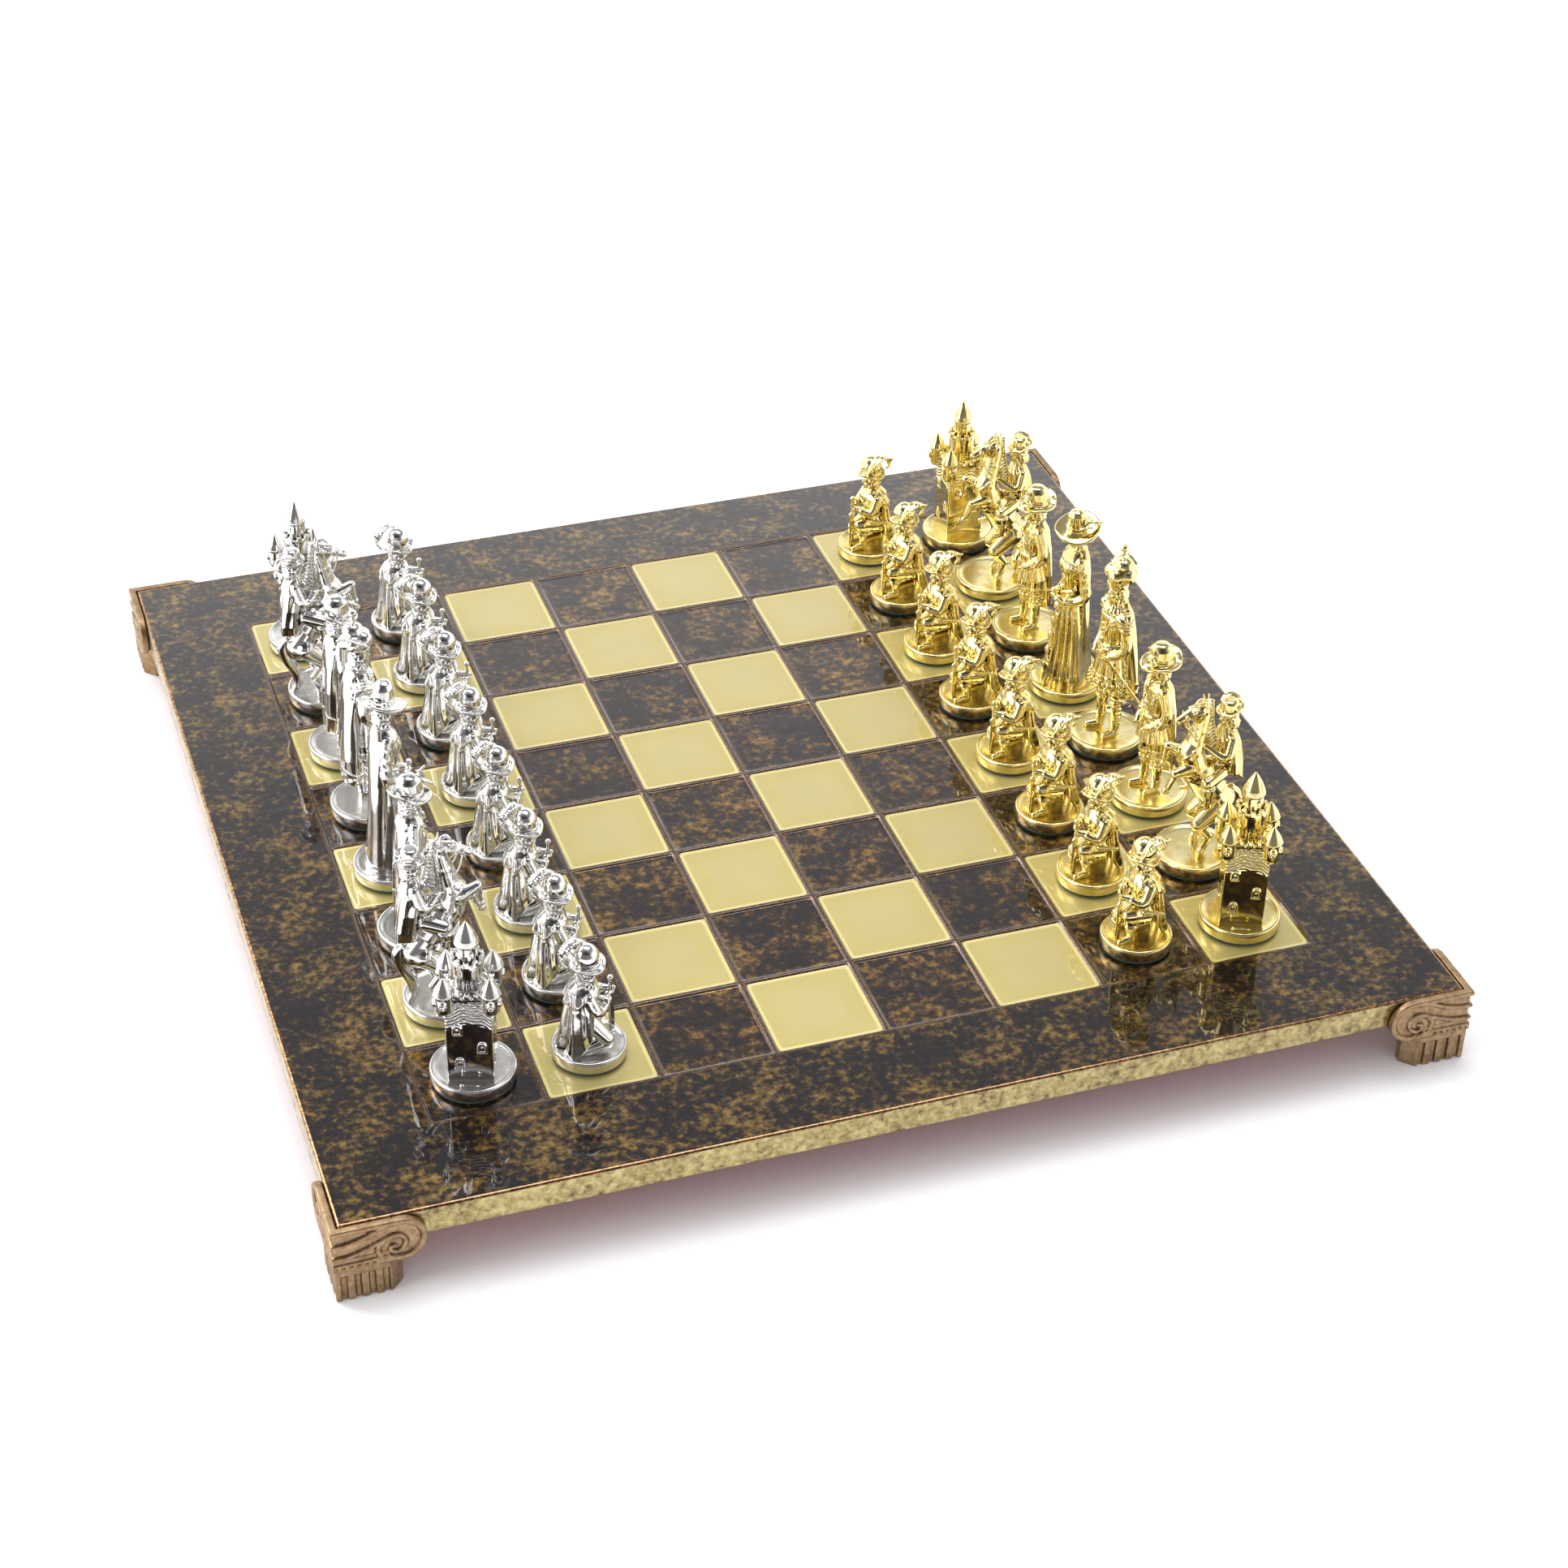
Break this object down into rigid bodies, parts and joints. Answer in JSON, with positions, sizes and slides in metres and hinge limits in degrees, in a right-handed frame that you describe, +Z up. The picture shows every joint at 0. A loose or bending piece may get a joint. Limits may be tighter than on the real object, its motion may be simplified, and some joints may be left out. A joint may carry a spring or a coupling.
{
  "type": "chess set with board",
  "caption": "Metal-faced chess board on four cast corner feet, with two armies of cast costumed figure men, one silver-coloured and one gold-coloured.",
  "frame": {"origin": "on the table, under the centre of the board", "axes": "+Z up; the silver men stand at -X and the gold men at +X, each facing the other; -Y is the near edge, with each side's first rook"},
  "size_m": [0.4466, 0.4466, 0.1285],
  "materials": {
    "patinated_brass": "mottled brown and gold patina under a gloss lacquer, alternate squares a pale champagne",
    "core_board": "raw fibreboard",
    "red_felt": "matt felt",
    "antique_bronze": "antique bronze, dark in the recesses",
    "screw_steel": "zinc plated",
    "bright_nickel": "bright nickel, dark in the recesses",
    "polished_gold": "bright pale gold, dark in the recesses"
  },
  "bodies": {
    "board": {"top_plate": "patinated_brass", "board_core": "core_board", "underside_felt": "red_felt", "foot_front_left": "antique_bronze", "foot_front_right": "antique_bronze", "foot_back_left": "antique_bronze", "foot_back_right": "antique_bronze", "screw_front_left_a": "screw_steel", "screw_front_left_b": "screw_steel", "screw_front_right_a": "screw_steel", "screw_front_right_b": "screw_steel", "screw_back_left_a": "screw_steel", "screw_back_left_b": "screw_steel", "screw_back_right_a": "screw_steel", "screw_back_right_b": "screw_steel"},
    "silver_rook_1": {"silver_rook_1": "bright_nickel"},
    "silver_knight_1": {"silver_knight_1": "bright_nickel"},
    "silver_bishop_1": {"silver_bishop_1": "bright_nickel"},
    "silver_queen": {"silver_queen": "bright_nickel"},
    "silver_king": {"silver_king": "bright_nickel"},
    "silver_bishop_2": {"silver_bishop_2": "bright_nickel"},
    "silver_knight_2": {"silver_knight_2": "bright_nickel"},
    "silver_rook_2": {"silver_rook_2": "bright_nickel"},
    "silver_pawn_1": {"silver_pawn_1": "bright_nickel"},
    "silver_pawn_2": {"silver_pawn_2": "bright_nickel"},
    "silver_pawn_3": {"silver_pawn_3": "bright_nickel"},
    "silver_pawn_4": {"silver_pawn_4": "bright_nickel"},
    "silver_pawn_5": {"silver_pawn_5": "bright_nickel"},
    "silver_pawn_6": {"silver_pawn_6": "bright_nickel"},
    "silver_pawn_7": {"silver_pawn_7": "bright_nickel"},
    "silver_pawn_8": {"silver_pawn_8": "bright_nickel"},
    "gold_rook_1": {"gold_rook_1": "polished_gold"},
    "gold_knight_1": {"gold_knight_1": "polished_gold"},
    "gold_bishop_1": {"gold_bishop_1": "polished_gold"},
    "gold_king": {"gold_king": "polished_gold"},
    "gold_queen": {"gold_queen": "polished_gold"},
    "gold_bishop_2": {"gold_bishop_2": "polished_gold"},
    "gold_knight_2": {"gold_knight_2": "polished_gold"},
    "gold_rook_2": {"gold_rook_2": "polished_gold"},
    "gold_pawn_1": {"gold_pawn_1": "polished_gold"},
    "gold_pawn_2": {"gold_pawn_2": "polished_gold"},
    "gold_pawn_3": {"gold_pawn_3": "polished_gold"},
    "gold_pawn_4": {"gold_pawn_4": "polished_gold"},
    "gold_pawn_5": {"gold_pawn_5": "polished_gold"},
    "gold_pawn_6": {"gold_pawn_6": "polished_gold"},
    "gold_pawn_7": {"gold_pawn_7": "polished_gold"},
    "gold_pawn_8": {"gold_pawn_8": "polished_gold"}
  },
  "joints": [
    {"name": "silver_rook_1_lift", "type": "slide", "parent": "board", "child": "silver_rook_1", "axis": [0, 0, 1], "range_m": [0, 0.12]},
    {"name": "silver_knight_1_lift", "type": "slide", "parent": "board", "child": "silver_knight_1", "axis": [0, 0, 1], "range_m": [0, 0.12]},
    {"name": "silver_bishop_1_lift", "type": "slide", "parent": "board", "child": "silver_bishop_1", "axis": [0, 0, 1], "range_m": [0, 0.12]},
    {"name": "silver_queen_lift", "type": "slide", "parent": "board", "child": "silver_queen", "axis": [0, 0, 1], "range_m": [0, 0.12]},
    {"name": "silver_king_lift", "type": "slide", "parent": "board", "child": "silver_king", "axis": [0, 0, 1], "range_m": [0, 0.12]},
    {"name": "silver_bishop_2_lift", "type": "slide", "parent": "board", "child": "silver_bishop_2", "axis": [0, 0, 1], "range_m": [0, 0.12]},
    {"name": "silver_knight_2_lift", "type": "slide", "parent": "board", "child": "silver_knight_2", "axis": [0, 0, 1], "range_m": [0, 0.12]},
    {"name": "silver_rook_2_lift", "type": "slide", "parent": "board", "child": "silver_rook_2", "axis": [0, 0, 1], "range_m": [0, 0.12]},
    {"name": "silver_pawn_1_lift", "type": "slide", "parent": "board", "child": "silver_pawn_1", "axis": [0, 0, 1], "range_m": [0, 0.12]},
    {"name": "silver_pawn_2_lift", "type": "slide", "parent": "board", "child": "silver_pawn_2", "axis": [0, 0, 1], "range_m": [0, 0.12]},
    {"name": "silver_pawn_3_lift", "type": "slide", "parent": "board", "child": "silver_pawn_3", "axis": [0, 0, 1], "range_m": [0, 0.12]},
    {"name": "silver_pawn_4_lift", "type": "slide", "parent": "board", "child": "silver_pawn_4", "axis": [0, 0, 1], "range_m": [0, 0.12]},
    {"name": "silver_pawn_5_lift", "type": "slide", "parent": "board", "child": "silver_pawn_5", "axis": [0, 0, 1], "range_m": [0, 0.12]},
    {"name": "silver_pawn_6_lift", "type": "slide", "parent": "board", "child": "silver_pawn_6", "axis": [0, 0, 1], "range_m": [0, 0.12]},
    {"name": "silver_pawn_7_lift", "type": "slide", "parent": "board", "child": "silver_pawn_7", "axis": [0, 0, 1], "range_m": [0, 0.12]},
    {"name": "silver_pawn_8_lift", "type": "slide", "parent": "board", "child": "silver_pawn_8", "axis": [0, 0, 1], "range_m": [0, 0.12]},
    {"name": "gold_rook_1_lift", "type": "slide", "parent": "board", "child": "gold_rook_1", "axis": [0, 0, 1], "range_m": [0, 0.12]},
    {"name": "gold_knight_1_lift", "type": "slide", "parent": "board", "child": "gold_knight_1", "axis": [0, 0, 1], "range_m": [0, 0.12]},
    {"name": "gold_bishop_1_lift", "type": "slide", "parent": "board", "child": "gold_bishop_1", "axis": [0, 0, 1], "range_m": [0, 0.12]},
    {"name": "gold_king_lift", "type": "slide", "parent": "board", "child": "gold_king", "axis": [0, 0, 1], "range_m": [0, 0.12]},
    {"name": "gold_queen_lift", "type": "slide", "parent": "board", "child": "gold_queen", "axis": [0, 0, 1], "range_m": [0, 0.12]},
    {"name": "gold_bishop_2_lift", "type": "slide", "parent": "board", "child": "gold_bishop_2", "axis": [0, 0, 1], "range_m": [0, 0.12]},
    {"name": "gold_knight_2_lift", "type": "slide", "parent": "board", "child": "gold_knight_2", "axis": [0, 0, 1], "range_m": [0, 0.12]},
    {"name": "gold_rook_2_lift", "type": "slide", "parent": "board", "child": "gold_rook_2", "axis": [0, 0, 1], "range_m": [0, 0.12]},
    {"name": "gold_pawn_1_lift", "type": "slide", "parent": "board", "child": "gold_pawn_1", "axis": [0, 0, 1], "range_m": [0, 0.12]},
    {"name": "gold_pawn_2_lift", "type": "slide", "parent": "board", "child": "gold_pawn_2", "axis": [0, 0, 1], "range_m": [0, 0.12]},
    {"name": "gold_pawn_3_lift", "type": "slide", "parent": "board", "child": "gold_pawn_3", "axis": [0, 0, 1], "range_m": [0, 0.12]},
    {"name": "gold_pawn_4_lift", "type": "slide", "parent": "board", "child": "gold_pawn_4", "axis": [0, 0, 1], "range_m": [0, 0.12]},
    {"name": "gold_pawn_5_lift", "type": "slide", "parent": "board", "child": "gold_pawn_5", "axis": [0, 0, 1], "range_m": [0, 0.12]},
    {"name": "gold_pawn_6_lift", "type": "slide", "parent": "board", "child": "gold_pawn_6", "axis": [0, 0, 1], "range_m": [0, 0.12]},
    {"name": "gold_pawn_7_lift", "type": "slide", "parent": "board", "child": "gold_pawn_7", "axis": [0, 0, 1], "range_m": [0, 0.12]},
    {"name": "gold_pawn_8_lift", "type": "slide", "parent": "board", "child": "gold_pawn_8", "axis": [0, 0, 1], "range_m": [0, 0.12]}
  ]
}
